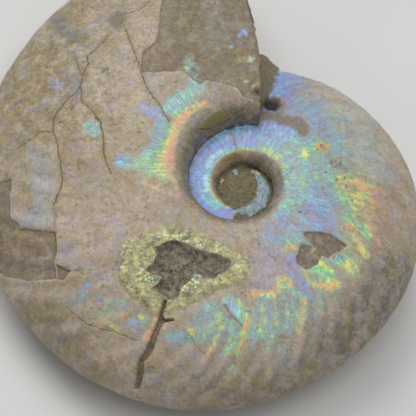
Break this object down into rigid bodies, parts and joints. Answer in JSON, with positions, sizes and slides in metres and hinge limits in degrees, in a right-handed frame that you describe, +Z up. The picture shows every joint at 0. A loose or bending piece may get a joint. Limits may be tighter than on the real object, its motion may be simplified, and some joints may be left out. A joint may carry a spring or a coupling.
{
  "type": "fossil ammonite",
  "caption": "Whole coiled fossil ammonite shell with a nacreous flank, a deep umbilicus and a broken aperture, lying on its side.",
  "frame": {"origin": "the middle of the fossil's box in plan, on the surface that it lies on", "axes": "+Z up, out of the flank that shows, and the broken aperture at the back, towards +Y"},
  "size_m": [0.071, 0.0866, 0.023],
  "materials": {
    "shell": "mineralised nacre, satin, pinkish beige with blue and green iridescence"
  },
  "bodies": {
    "root": {"ammonite": "shell"}
  },
  "joints": []
}
